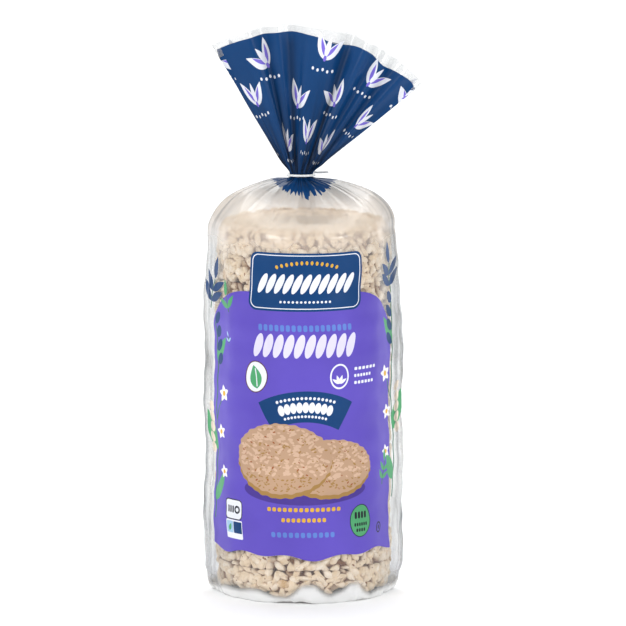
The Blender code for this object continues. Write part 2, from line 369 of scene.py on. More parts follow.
# The fan's folds: (place across it from -1 to 1, how far it stands forward or back).
FAN_FOLDS = (
    (-1.00, 0.0024), (-0.66, -0.0036), (-0.54, 0.0040), (-0.42, -0.0010), (-0.30, 0.0042),
    (-0.14, -0.0034), (0.12, -0.0020), (0.24, 0.0044), (0.40, -0.0036), (0.50, 0.0030),
    (0.60, -0.0030), (0.70, 0.0034), (0.82, -0.0028), (0.92, 0.0020), (1.00, 0.0008),
)  # fmt: skip
# How much film each stretch takes, from the middle of the base up to the cut edge.
BASE_RUN, CORNER_RUN, DOME_RUN, NECK_RUN, FAN_RUN = 0.036, 0.013, 0.052, 0.003, 0.086
RIM_W = CORNER_RUN + RIM_HEIGHT - CORNER
NECK_W = RIM_W + DOME_RUN
FAN_W = NECK_W + NECK_RUN
CUT_W = FAN_W + FAN_RUN


def smooth_step(low, high, value):
    share = np.clip((value - low) / (high - low), 0.0, 1.0)
    return share * share * (3.0 - 2.0 * share)


def between(a, b, share):
    return a + (b - a) * share


def wall(angle, height):
    """The film round the stack: a circle, with a straight pull to a ridge at each side."""
    into_cake = (height - FLOOR_GAP) / CAKE_THICKNESS
    core = CAKE_RADIUS + FILM_SLACK - RIB * np.cos(math.tau * into_cake)
    left = np.cos(angle) < 0.0
    rising = smooth_step(0.0, np.where(left, LEFT_FULL, RIGHT_FULL), height)
    lost = 1.0 - np.where(left, LEFT_AT_RIM, RIGHT_AT_RIM)
    fading = smooth_step(RIDGE_FADE, RIM_HEIGHT, height)
    ridge = np.where(left, LEFT_RIDGE, RIGHT_RIDGE) * rising * (1.0 - lost * fading)
    bend = np.arccos(core / (core + ridge))
    from_side = np.abs(np.mod(angle + math.pi / 2, math.pi) - math.pi / 2)
    radius = core / np.cos(np.maximum(bend - from_side, 0.0))
    shift_x, shift_y = stack_shift(height)
    return radius * np.cos(angle) + shift_x, radius * np.sin(angle) + shift_y


def fan_fold(place):
    """The folds with their creases a little rounded."""
    places, depths = zip(*FAN_FOLDS)
    return sum(np.interp(place + k * 0.012, places, depths) for k in (-2, -1, 0, 1, 2)) / 5


def taut_film(s, w):
    """Where the film lies before its fine folds."""
    angle = s / FILM_RADIUS - math.pi / 2
    cos, sin = np.cos(angle), np.sin(angle)
    foot_x, foot_y = BASE_SHIFT + BASE_HALF_WIDTH * cos, BASE_HALF_DEPTH * sin
    neck_x, neck_y = NECK_SHIFT + NECK_HALF_WIDTH * cos, NECK_HALF_DEPTH * sin

    share = np.clip(1.0 + w / BASE_RUN, 0.004, 1.0)
    base = np.stack([foot_x * share, foot_y * share, np.zeros_like(w)], -1)

    turn = np.clip(w / CORNER_RUN, 0.0, 1.0) * math.pi / 2
    x, y = wall(angle, np.full_like(w, CORNER))
    out = np.sin(turn)
    rounding = CORNER * (1.0 - np.cos(turn))
    corner = np.stack([between(foot_x, x, out), between(foot_y, y, out), rounding], -1)

    height = np.clip(w - CORNER_RUN + CORNER, CORNER, RIM_HEIGHT)
    walls = np.stack([*wall(angle, height), height], -1)

    turn = np.clip((w - RIM_W) / DOME_RUN, 0.0, 1.0) * math.pi / 2
    x, y = wall(angle, np.full_like(w, RIM_HEIGHT))
    taut = DOME_TAUTNESS * sin**2
    rise = (1.0 - taut) * np.sin(turn) + taut * (1.0 - np.cos(turn))
    x = between(neck_x, x, np.cos(turn)) + DOME_LEAN * np.sin(2.0 * turn)
    y = between(neck_y, y, np.cos(turn))
    dome = np.stack([x, y, between(RIM_HEIGHT, NECK_LOW, rise)], -1)

    share = np.clip((w - NECK_W) / NECK_RUN, 0.0, 1.0)
    neck = np.stack([neck_x, neck_y, between(NECK_LOW, NECK_HIGH, share)], -1)

    share = np.clip((w - FAN_W) / FAN_RUN, 0.0, 1.0)
    place = np.arcsin(np.clip(cos, -1.0, 1.0)) / (math.pi / 2)
    part = (place + 1.0) / 2.0
    lean = between(FAN_LEFT, FAN_RIGHT, part)
    radius = FAN_RADIUS - FAN_SHORTER * part
    x = between(neck_x, FAN_CENTRE_X + radius * np.sin(lean), share)
    y = share**0.8 * fan_fold(place) + between(NECK_HALF_DEPTH, FAN_MOUTH, share) * sin
    z = between(NECK_HIGH, FAN_CENTRE_HEIGHT + radius * np.cos(lean), share)
    fan = np.stack([x, y, z], -1)

    ends = [w < 0.0, w < CORNER_RUN, w < RIM_W, w < NECK_W, w < FAN_W]
    stretch = np.select(ends, [0, 1, 2, 3, 4], 5)
    return np.choose(stretch[..., None], [base, corner, walls, dome, neck, fan])


def relief(cells_round, cell_height, seed, s, w):
    """Smooth random relief from -1 to 1 that closes on itself round the bag."""
    lattice = np.random.default_rng(seed).uniform(-1.0, 1.0, (256, cells_round))
    u = (s / (2.0 * HALF_ROUND) + 0.5) * cells_round
    v = w / cell_height + 40.0
    column, row = np.floor(u).astype(int), np.floor(v).astype(int)
    across, up = u - column, v - row
    across, up = across**2 * (3.0 - 2.0 * across), up**2 * (3.0 - 2.0 * up)
    left, right = column % cells_round, (column + 1) % cells_round
    low, high = row % 256, (row + 1) % 256
    return between(
        between(lattice[low, left], lattice[low, right], across),
        between(lattice[high, left], lattice[high, right], across),
        up,
    )


def creased(field):
    """A relief's zero lines drawn up into sharp creases, from 0 to 1."""
    return 1.0 - np.abs(field)


def fine_folds(s, w):
    """How far the film's folds and pulls stand off its taut form."""
    on_wall = smooth_step(0.006, 0.020, w) * (1.0 - smooth_step(RIM_W - 0.02, RIM_W, w))
    on_dome = smooth_step(RIM_W - 0.02, RIM_W, w) * (1.0 - smooth_step(NECK_W - 0.01, NECK_W, w))
    at_foot = 1.0 - smooth_step(0.004, 0.022, w)
    into_dome = np.clip((w - RIM_W) / DOME_RUN, 0.0, 1.0)
    into_fan = np.clip((w - FAN_W) / FAN_RUN, 0.0, 1.0)
    side = np.exp(-(((np.abs(s) - HALF_ROUND / 2) / 0.016) ** 2))

    bumps = 0.00010 * relief(46, 0.0065, 1, s, w)
    pulls = relief(30, 0.070, 2, s + 0.05 * w, w)
    fin = np.exp(-(((np.abs(s) - HALF_ROUND / 2) / 0.011) ** 2))
    pleats = creased(relief(88, 0.090, 14, s + 0.02 * w, w)) - 0.5
    waves = relief(9, 0.045, 3, s, w)
    walls = bumps + (0.00012 + 0.0005 * side) * pulls + (0.0002 + 0.0003 * side) * waves
    walls += 0.0006 * fin * pleats

    gathers = creased(relief(34, 0.030, 4, s, w)) * 0.6 + creased(relief(75, 0.040, 5, s, w)) * 0.4
    slack = relief(14, 0.016, 6, s - 0.3 * w, w)
    dome = 0.0030 * (gathers - 0.6) * into_dome * (1.3 - into_dome) + 0.0009 * slack

    crumple = creased(relief(24, 0.009, 7, s + 0.4 * w, w)) - 0.5
    pressed = relief(60, 0.006, 8, s, w)
    crinkle = creased(relief(70, 0.005, 15, s - 0.5 * w, w)) - 0.5
    foot = 0.0020 * crumple + 0.0005 * pressed + 0.0009 * crinkle

    tucks = creased(relief(56, 0.080, 9, s, w)) - 0.5
    ripple = relief(20, 0.030, 10, s, w)
    fan = 0.0020 * tucks * (1.0 - into_fan) * smooth_step(0.0, 0.10, into_fan)
    fan += 0.0008 * ripple * into_fan
    at_neck = smooth_step(NECK_W - 0.012, NECK_W, w) * (1.0 - smooth_step(FAN_W, FAN_W + 0.010, w))
    neck = -0.0008 * creased(relief(48, 0.050, 13, s, w)) ** 2
    return walls * on_wall + dome * on_dome + foot * at_foot + fan + neck * at_neck


def film_shape(s, w):
    """Where the film lies, folds and all."""
    s, w = np.asarray(s, float), np.asarray(w, float)
    step = 0.0004
    across = taut_film(s + step, w) - taut_film(s - step, w)
    upward = taut_film(s, w + step) - taut_film(s, w - step)
    normal = np.cross(across, upward)
    normal /= np.maximum(np.linalg.norm(normal, axis=-1, keepdims=True), 1e-12)
    points = taut_film(s, w) + normal * fine_folds(s, w)[..., None]
    points[..., 2] = np.maximum(points[..., 2], 0.0)
    return points


def fold_shade(s, w):
    """How much painted shade darkens the film's folds and creases, from 0 to 1."""
    into_fan = np.clip((w - FAN_W) / FAN_RUN, 0.0, 1.0)
    place = np.arcsin(np.clip(np.sin(s / FILM_RADIUS), -1.0, 1.0)) / (math.pi / 2)
    valley = np.clip(fan_fold(place) / 0.0040, 0.0, 1.0) ** 2 * (1.0 - 0.4 * into_fan)
    tucks = creased(relief(56, 0.080, 9, s, w)) ** 3 * (1.0 - into_fan) ** 2
    # The fan's painted shade is deepest near the tie and fades towards its cut edge.
    above = np.clip(valley + tucks + 0.35 * (1.0 - into_fan) ** 2, 0.0, 1.0)
    above *= 1.0 - 0.8 * smooth_step(CUT_W - 0.012, CUT_W - 0.004, w)  # one layer at the cut edge
    near_neck = smooth_step(NECK_W - 0.014, NECK_W, w)
    below = near_neck * (0.2 + 0.8 * creased(relief(48, 0.050, 13, s, w)) ** 3)
    fin = np.exp(-(((np.abs(s) - HALF_ROUND / 2) / 0.010) ** 2))
    below += 0.9 * fin * creased(relief(88, 0.090, 14, s + 0.02 * w, w)) ** 6
    return np.where(w > FAN_W, above, np.clip(below, 0.0, 1.0))


def film_looks(s, w):
    """How the film looks at each place: milky, floury, in layers, and its painted fold shade, each from 0 to 1.
    """
    cloud = 0.5 + 0.5 * relief(22, 0.020, 11, s, w)
    streak = 0.5 + 0.5 * relief(60, 0.050, 12, s, w)
    side = np.exp(-(((np.abs(s) - HALF_ROUND / 2) / 0.012) ** 2))
    # It is slack and milky over the dome, and rice flour clings to it over the top cake.
    slack = smooth_step(RIM_W + 0.016, RIM_W + 0.040, w) * (0.75 + 0.25 * cloud)
    flour = smooth_step(RIM_W - 0.024, RIM_W + 0.004, w) * (0.8 + 0.2 * streak)
    flour *= 1.0 - smooth_step(RIM_W + 0.026, RIM_W + 0.042, w)
    # Under the chipped edge of the bottom cake the slack film lies in layers.
    edge = 0.004 + FLOOR_GAP + bottom_lift(s / FILM_RADIUS - math.pi / 2)
    layers = 1.0 - smooth_step(edge - 0.002, edge + 0.003, w)
    fan = smooth_step(FAN_W, FAN_W + 0.02, w)
    haze = 0.04 + 0.07 * cloud * streak + 0.22 * side * streak + 0.56 * slack
    haze = np.maximum(haze, 0.46 * flour) * (1.0 - fan) + 0.26 * fan
    haze = np.clip(haze + layers * (0.8 + 0.2 * cloud), 0.0, 0.95)
    # Painted shade also greys the slack film over the dome's shoulders.
    shoulder = slack * smooth_step(0.45, 0.85, np.abs(np.sin(s / FILM_RADIUS))) * (1.0 - fan)
    painted_fold_shade = np.maximum(fold_shade(s, w), (0.35 + 0.25 * streak) * shoulder)
    return {"haze": haze, "flour": flour, "layers": layers, "painted_fold_shade": painted_fold_shade}


def clear_film():
    """Oriented polypropylene: clear and glossy, and faintly milky where light grazes its folds."""
    material, tree = new_material("Clear polypropylene film")
    haze = add(tree, "Attribute", attribute_name="haze").outputs["Fac"]
    edge = add(tree, "LayerWeight", {"Blend": 0.5}).outputs["Facing"]
    greys = (0.0, "#FFFFFF"), (0.4, "#F6F7F7"), (0.6, "#E0E2E4"), (0.85, "#B0B5B8"), (1.0, "#858B8F")
    tint = add(tree, "ValToRGB", {"Fac": edge}, greys)
    # Painted shade: in the folds the film lets less light through, and its milky white goes grey.
    painted_fold_shade = add(tree, "Attribute", attribute_name="painted_fold_shade").outputs["Fac"]
    fold_shaded_tint = add(
        tree,
        "Mix",
        {0: painted_fold_shade, 6: tint.outputs["Color"], 7: srgb("#747B80")},
        data_type="RGBA",
    )
    through = add(tree, "BsdfTransparent", {"Color": fold_shaded_tint.outputs[2]})
    flour = add(tree, "Attribute", attribute_name="flour").outputs["Fac"]
    layers = add(tree, "Attribute", attribute_name="layers").outputs["Fac"]
    whites = (0.0, "#CBCBCA"), (1.0, "#F5F5F4")
    white = add(tree, "ValToRGB", {"Fac": layers}, whites).outputs["Color"]
    floury = add(tree, "Mix", {0: flour, 6: white, 7: srgb("#F4E8DA")}, data_type="RGBA")
    shaded = add(tree, "Mix", {0: painted_fold_shade, 6: floury.outputs[2], 7: srgb("#8C8E90")}, data_type="RGBA")
    front = add(tree, "BsdfDiffuse", {"Color": shaded.outputs[2]})
    back = add(tree, "BsdfTranslucent", {"Color": shaded.outputs[2]})
    # Flour and layers throw back most of the light that one clean layer would let through.
    thick = add(tree, "Math", {0: flour, 1: layers}, operation="MAXIMUM").outputs["Value"]
    lets = add(tree, "MapRange", {"Value": thick, 3: 0.5, 4: 0.1}).outputs["Result"]
    milk = add(tree, "MixShader", {0: lets, 1: front.outputs["BSDF"], 2: back.outputs["BSDF"]})
    body = add(tree, "MixShader", {0: haze, 1: through.outputs["BSDF"], 2: milk.outputs["Shader"]})
    gloss = add(tree, "BsdfAnisotropic", {"Color": (1.0, 1.0, 1.0, 1.0), "Roughness": 0.18})
    # Both faces of the film reflect: 7% straight on, and nearly all of it at a grazing angle.
    graze = add(tree, "Math", {0: edge, 1: 5.0}, operation="POWER").outputs["Value"]
    shine = add(tree, "MapRange", {"Value": graze, 3: 0.07, 4: 0.90}).outputs["Result"]
    film = add(tree, "MixShader", {0: shine, 1: body.outputs["Shader"], 2: gloss.outputs["BSDF"]})
    add(tree, "OutputMaterial", {"Surface": film.outputs["Shader"]})
    return material


# ---------------------------------------------------------------- the print
# Gravure inks on the film, with a white under them that makes them opaque: a violet panel on the
# front and the back, and a navy ground over the neck and the fan. The motifs are plain fields.
# Sizes here are in millimetres on the flat sheet: s across, w up.

ROUND = 2000.0 * HALF_ROUND
FINEST = 0.8  # the longest straight run along a curved outline
PLAIN_GRID = 1.5  # spacing of the sheet's own points

print_layers = []  # (ink, outline), the lowest first


def close_points(outline):
    """The same outline with points as close as the sheet's own, so that it bends with the film."""
    outline = np.asarray(outline, float)
    runs = []
    for a, b in zip(outline, np.roll(outline, -1, axis=0)):
        steps = max(1, math.ceil(math.dist(a, b) / PLAIN_GRID))
        runs.append(a + (b - a) * np.arange(steps)[:, None] / steps)
    return np.concatenate(runs)


def lay(ink, outline, turn=0.0, at=(0.0, 0.0)):
    """Prints one field of colour. One that crosses the back seam is printed on both of its sides."""
    turn = math.radians(turn)
    outline = close_points(outline)
    s = at[0] + outline[:, 0] * math.cos(turn) - outline[:, 1] * math.sin(turn)
    w = at[1] + outline[:, 0] * math.sin(turn) + outline[:, 1] * math.cos(turn)
    print_layers.append((ink, np.stack([s, w], -1)))
    for over in (ROUND, -ROUND):
        if (np.abs(s + over) < ROUND / 2).any():
            print_layers.append((ink, np.stack([s + over, w], -1)))


def oval(wide, tall):
    count = max(12, int(math.pi * (wide + tall) / 2 / FINEST))
    t = np.linspace(0.0, math.tau, count, endpoint=False)
    return np.stack([wide / 2 * np.cos(t), tall / 2 * np.sin(t)], -1)


def grain(wide, tall, lean):
    """An upright oval that leans to the right, as a grain does."""
    t = math.radians(lean)
    return oval(wide, tall) @ np.array([[math.cos(t), math.sin(t)], [-math.sin(t), math.cos(t)]]).T


def block(wide, tall, corner):
    """A rectangle with rounded corners."""
    outline = []
    steps = max(3, int(corner * math.pi / 2 / FINEST) + 1)
    for k, (sx, sy) in enumerate(((1, 1), (-1, 1), (-1, -1), (1, -1))):
        for i in range(steps + 1):
            t = math.pi / 2 * (k + i / steps)
            x = sx * (wide / 2 - corner) + corner * math.cos(t)
            outline.append((x, sy * (tall / 2 - corner) + corner * math.sin(t)))
    return outline


def leaf(length, wide, curl=0.0):
    """A pointed leaf that grows up from its stalk."""
    t = np.linspace(0.0, 1.0, max(8, int(length / 1.1)))
    half = wide / 2 * np.sin(math.pi * t**0.8) ** 0.9
    mid = curl * length * t**2
    left = np.stack([mid - half, length * t], -1)
    right = np.stack([mid + half, length * t], -1)[-2:0:-1]
    return np.concatenate([left, right])


def stem(points, wide):
    """A line of even width through these points, bent smoothly."""
    points = np.asarray(points, float)
    knots = np.linspace(0.0, 1.0, len(points))
    t = np.linspace(0.0, 1.0, 6 * len(points))
    path = np.stack([np.interp(t, knots, points[:, k]) for k in (0, 1)], -1)
    for _ in range(6):
        path[1:-1] = (path[:-2] + 2.0 * path[1:-1] + path[2:]) / 4.0
    ahead = np.gradient(path, axis=0)
    ahead /= np.linalg.norm(ahead, axis=1, keepdims=True)
    off = np.stack([-ahead[:, 1], ahead[:, 0]], -1) * wide / 2
    return np.concatenate([path + off, (path - off)[::-1]])


def marks(ink, s, w, wide, count, mark, gap=0.35):
    """A level row of small marks, where a line of small print would be."""
    pitch = wide / count
    for i in range(count):
        lay(ink, mark(pitch * (1.0 - gap), i), at=(s - wide / 2 + pitch * (i + 0.5), w))


def daisy(s, w, size):
    for k in range(5):
        lay("white", leaf(size, size * 0.62), turn=72.0 * k + 11.0, at=(s, w))
    lay("yellow", oval(size * 0.62, size * 0.62), at=(s, w))


def sprig(ink, s, w, length, turn, pairs, leaf_length):
    """A stalk with its leaves in pairs and one at the tip."""
    lean = math.radians(turn)
    up = np.array([-math.sin(lean), math.cos(lean)])
    foot = np.array([s, w])
    lay("green", stem([foot, foot + up * length * 0.5, foot + up * length], 0.9))
    for k in range(pairs):
        at = foot + up * length * (0.25 + 0.7 * k / pairs)
        for side in (-48.0, 48.0):
            lay(ink, leaf(leaf_length, leaf_length * 0.36, 0.08), turn=turn + side, at=at)
    lay(ink, leaf(leaf_length, leaf_length * 0.36), turn=turn, at=foot + up * length)


def panel(s, left, right, low, top, phase):
    """The violet panel's outline: straight sides, round shoulders and a wavy lower edge."""
    across = np.arange(left, right, FINEST)
    wave = 1.1 * np.sin(across / 4.6 + phase) + 0.9 * np.sin(across / 9.7 + 2.0 * phase)
    wave += 0.9 * np.cos(across / 30.0) - 0.6
    lower = np.stack([across, low - wave], -1)
    t = np.linspace(0.0, math.pi / 2, 40)
    reach, drop = 34.0, 26.0
    right_arc = np.stack([right - reach + reach * np.cos(t), top - drop + drop * np.sin(t)], -1)
    left_arc = np.stack([left + reach - reach * np.cos(t), top - drop + drop * np.sin(t)], -1)
    lay("violet", np.concatenate([lower, right_arc, left_arc[::-1]]), at=(s, 0.0))


# The front panel, its plaque and its badges.
panel(0.0, -66.0, 63.0, 29.8, 177.0, 0.4)
panel(ROUND / 2, -56.0, 56.0, 29.8, 177.0, 1.9)

lay("navy", block(67.0, 32.5, 5.0), at=(1.6, 183.6))
lay("pale", block(64.6, 30.1, 4.2), at=(1.6, 183.6))
lay("navy", block(63.6, 29.1, 3.8), at=(1.6, 183.6))
marks("pale", 1.6, 182.6, 55.0, 11, lambda wide, i: grain(wide, 12.0, 24.0), 0.22)
marks("pale", 1.6, 172.6, 30.0, 13, lambda wide, i: oval(wide, wide), 0.4)
for i in range(13):
    arc = (i - 6) / 6
    lay("yellow", oval(1.6, 2.3), turn=-28.0 * arc, at=(1.6 + 17.0 * arc, 194.4 - 2.6 * arc**2))

marks("sky", 1.5, 158.0, 55.0, 17, lambda wide, i: block(wide, 3.6, 0.9), 0.3)
marks("pale_violet", 0.8, 148.0, 60.0, 10, lambda wide, i: grain(wide, 14.0, 20.0), 0.18)

lay("bark", oval(14.8, 18.0), at=(-28.0, 130.0))
lay("pale", oval(13.6, 16.8), at=(-28.0, 130.0))
lay("leaf_green", leaf(13.4, 7.6), turn=14.0, at=(-26.6, 123.4))
lay("pale", stem([(-26.7, 124.6), (-27.4, 129.0), (-28.7, 134.6)], 0.6))

lay("pale", oval(11.4, 14.2), at=(20.5, 130.6))
lay("violet", oval(9.6, 12.2), at=(20.5, 130.6))
for turn in (-58.0, -20.0, 20.0, 58.0):
    lay("pale", leaf(5.0, 1.8), turn=turn, at=(20.5, 126.6))
for row, wide in enumerate((17.0, 13.0, 15.0)):
    marks("pale", 29.5 + wide / 2, 134.2 - 3.9 * row, wide, 6, lambda w, i: block(w, 1.7, 0.5), 0.3)


def arched(s, w, wide, tall, rise):
    """An upright band bent over an arc, its ends square to it."""
    half = wide / 2
    radius = (half**2 + rise**2) / (2.0 * rise)
    reach = math.asin(half / radius)
    t = np.linspace(-reach, reach, 40)
    outer = np.stack([radius * np.sin(t), radius * np.cos(t) - radius], -1)
    inner = np.stack([(radius - tall) * np.sin(t), (radius - tall) * np.cos(t) - radius], -1)
    return np.concatenate([outer, inner[::-1]]) + (s, w)


lay("navy", arched(1.8, 123.0, 55.0, 17.5, 7.4))
for count, fall, size in ((15, 4.0, 1.6), (9, 9.2, 3.6), (13, 14.2, 1.4)):
    for i in range(count):
        t = 0.34 * (2.0 * i / (count - 1) - 1.0) * (1.0 - 0.012 * fall)
        spot = (1.8 + (55.0 - fall) * math.sin(t), 68.0 + (55.0 - fall) * math.cos(t))
        lay("pale", oval(size, size * (1.7 if count == 9 else 1.1)), turn=-math.degrees(t), at=spot)


def pictured_cake(s, w, wide, tall, seed):
    """A rice cake as the printer shows it: a bumpy disc of cream with darker and lighter grains."""
    rng = np.random.default_rng(seed)
    t = np.linspace(0.0, math.tau, int(math.pi * wide / 1.1), endpoint=False)
    bumpy = 1.0 + 0.012 * np.sin(31.0 * t) + 0.010 * np.sin(19.0 * t + seed)
    rim = np.stack([wide / 2 * bumpy * np.cos(t), tall / 2 * bumpy * np.sin(t)], -1)
    lay("crust", rim * (1.0, 1.03), at=(s, w - 1.3))
    lay("puff", rim, at=(s, w + 0.5))
    for i in range(int(wide * tall / 5.0)):
        reach = 0.93 * math.sqrt(rng.random())
        angle = rng.uniform(0.0, math.tau)
        spot = (s + wide / 2 * reach * math.cos(angle), w + 0.5 + tall / 2 * reach * math.sin(angle))
        low = math.sin(angle) * reach < -0.45
        ink = ("crust" if low or i % 3 == 0 else "puff_light") if i % 9 else "bran"
        size = rng.uniform(0.6, 1.5) * {"bran": 0.6, "crust": 0.7}.get(ink, 1.2)
        lay(ink, oval(size * 2.0, size), turn=rng.uniform(-50.0, 50.0), at=spot)


lay("violet_shade", oval(74.0, 16.0), at=(1.0, 67.0))
pictured_cake(15.0, 79.4, 53.0, 31.0, 3)
pictured_cake(-12.5, 84.2, 57.0, 39.5, 2)

marks("yellow", 0.8, 56.4, 43.0, 14, lambda wide, i: block(wide, 2.3, 0.7), 0.3)
marks("yellow", 0.8, 50.6, 26.0, 9, lambda wide, i: block(wide, 2.3, 0.7), 0.3)
marks("sky", 0.2, 42.2, 37.0, 11, lambda wide, i: block(wide, 3.0, 0.9), 0.3)

lay("ink_black", block(14.6, 11.6, 2.6), at=(-44.4, 53.6))
lay("pale", block(13.4, 10.4, 2.1), at=(-44.4, 53.6))
lay("ink_black", oval(4.6, 4.6), at=(-41.2, 53.6))
lay("pale", oval(2.4, 2.4), at=(-41.2, 53.6))
marks("ink_black", -46.6, 53.6, 6.0, 3, lambda wide, i: block(wide, 4.0, 0.5), 0.3)
lay("pale", block(13.8, 10.6, 0.8), at=(-43.8, 42.4))
lay("sky_pale", block(6.0, 6.6, 0.4), at=(-47.2, 43.6))
lay("navy", block(6.6, 6.6, 0.4), at=(-40.6, 43.6))
lay("leaf_green", leaf(4.6, 2.4), turn=-25.0, at=(-48.0, 41.4))

lay("ink_black", oval(15.0, 18.6), at=(35.4, 48.4))
lay("leaf_green", oval(14.0, 17.6), at=(35.4, 48.4))
marks("ink_black", 35.4, 51.6, 9.0, 4, lambda wide, i: block(wide, 4.0, 0.8), 0.3)
marks("ink_black", 35.4, 46.4, 9.6, 6, lambda wide, i: block(wide, 2.0, 0.5), 0.3)
marks("ink_black", 35.4, 43.2, 7.0, 4, lambda wide, i: block(wide, 2.0, 0.5), 0.3)
lay("ink_black", oval(4.8, 6.4), at=(51.0, 42.6))
lay("violet", oval(3.2, 4.8), at=(51.0, 42.6))
lay("ink_black", oval(1.4, 2.6), at=(51.0, 42.6))

# Meadow plants up both sides, the right one higher than the left, and the same round the back.


def meadow(side, s, w):
    """One side's plants: s is the line they grow along, and side is which way they lean."""
    lay("green", stem([(s, w - 76), (s - side, w - 40), (s + 2 * side, w), (s, w + 34)], 1.0))
    lay("leaf_green", leaf(23.0, 8.4, 0.10 * side), turn=26.0 * side, at=(s - side, w - 38.0))
    lay("leaf_green", leaf(19.0, 6.6, -0.10 * side), turn=-30.0 * side, at=(s, w - 66.0))
    lay("leaf_green", leaf(17.0, 6.0, 0.12 * side), turn=-24.0 * side, at=(s + side, w + 12.0))
    for k in range(4):
        at = (s + side * (4.0 - 0.5 * k), w + 14.0 + 7.6 * k)
        lay("navy", oval(4.4, 7.6), turn=-28.0 * side, at=at)
    for k in range(5):
        at = (s - side * (4.4 + 0.4 * (k % 2)), w - 14.0 - 5.8 * k)
        lay("cream", oval(4.0, 6.2), turn=22.0 * side, at=at)
    lay("green", stem([(s, w - 22.0), (s + 4 * side, w - 14.0), (s + 8 * side, w - 6.0)], 0.8))
    daisy(s + 8.8 * side, w - 5.0, 5.0)
    daisy(s + 5.6 * side, w - 27.0, 4.4)
    daisy(s + 8.0 * side, w - 49.0, 4.0)


meadow(1.0, -63.5, 122.0)
meadow(-1.0, 66.5, 133.0)
for side, s, w in ((-1.0, -68.5, 163.0), (1.0, 66.0, 172.0)):
    sprig("navy", s, w, 17.0, 10.0 * side, 2, 13.0)
sprig("leaf_green", -49.0, 163.5, 9.0, 18.0, 1, 9.5)
sprig("leaf_green", 54.5, 66.0, 13.0, -8.0, 2, 7.0)
sprig("sky_pale", -50.0, 146.0, 3.5, 12.0, 1, 3.4)

# The back: a pale box that is left bare, with ruled lines, as on any food bag.
lay("navy", block(62.0, 92.0, 2.0), at=(ROUND / 2, 108.0))
lay("pale", block(61.0, 91.0, 1.6), at=(ROUND / 2, 108.0))
for row in range(8):
    lay("navy", block(53.0, 0.5 if row % 3 else 1.1, 0.2), at=(ROUND / 2, 145.0 - 10.5 * row))
meadow(1.0, ROUND / 2 - 51.0, 120.0)
meadow(-1.0, ROUND / 2 - ROUND + 51.0, 120.0)

# The navy ground: ragged where the tie gathers it, and uneven under the cut edge.
skirt_rng = np.random.default_rng(21)
around = np.arange(-ROUND / 2 - 4.0, ROUND / 2 + 4.0, 1.7)
neck_mm, cut_mm, fan_mm = 1000.0 * NECK_W, 1000.0 * CUT_W, 1000.0 * FAN_W
ragged = neck_mm - 7.4 - 2.6 * skirt_rng.random(len(around)) ** 1.6
ragged -= 5.6 * skirt_rng.random(len(around)) * np.cos(2.0 * around / ROUND * math.pi) ** 2
front_edge = 3.6 + 2.4 * smooth_step(-22.0, 8.0, around) + 1.5 * np.sin(around / 6.1) * (around > 0)
back_edge = 8.4 + 0.6 * np.sin(around / 13.0)
upper = cut_mm - np.where(np.abs(around) < ROUND / 4, front_edge, back_edge)
print_layers.append(
    (
        "navy",
        np.concatenate([np.stack([around, ragged], -1), np.stack([around, upper], -1)[::-1]]),
    )
)

# Fan motifs: leaf sprigs and seeds in white and lavender, set out on a loose diagonal lattice.
for k in range(-4, 5):
    for row in range(3):
        s = 42.0 * k + (21.0 if row % 2 else 0.0) + 4.0 * math.sin(5.0 * k + row)
        w = fan_mm + 20.0 + 25.0 * row + 2.5 * math.cos(3.0 * k)
        if abs(s) > ROUND / 2 - 13.0:
            continue
        turn = 34.0 * math.sin(2.3 * k + 1.7 * row)
        for side in (-1.0, 1.0):
            lay("pale", leaf(17.0, 6.2, 0.14 * side), turn=turn + 40.0 * side, at=(s, w - 4.0))
            lay("lavender", leaf(12.0, 2.6, 0.14 * side), turn=turn + 40.0 * side, at=(s, w - 2.4))
        lay("pale", leaf(13.0, 3.8), turn=turn, at=(s, w - 3.0))
        lay("lavender", oval(2.6, 3.6), turn=turn, at=(s, w - 3.4))
        for dot in range(5):
            lay("pale", oval(2.0, 2.0), at=(s - 8.4 + 4.2 * dot, w - 10.0 - 0.8 * (dot % 2)))

INKS = {
    "violet": "#604FB8", "violet_shade": "#4A388C", "navy": "#0B3D70", "pale": "#E8EAF2",
    "pale_violet": "#DDD8EE", "sky": "#5F80CC", "sky_pale": "#9FC2DE", "lavender": "#7A6AD0",
    "green": "#3E6E5A", "leaf_green": "#4FA06C", "cream": "#EADBC8", "yellow": "#D9A83C",
    "white": "#F1EFF2", "puff": "#B9977B", "puff_light": "#CEAD94", "crust": "#A07C48",
    "bran": "#96552F", "bark": "#5A3530", "ink_black": "#22242E",
}  # fmt: skip


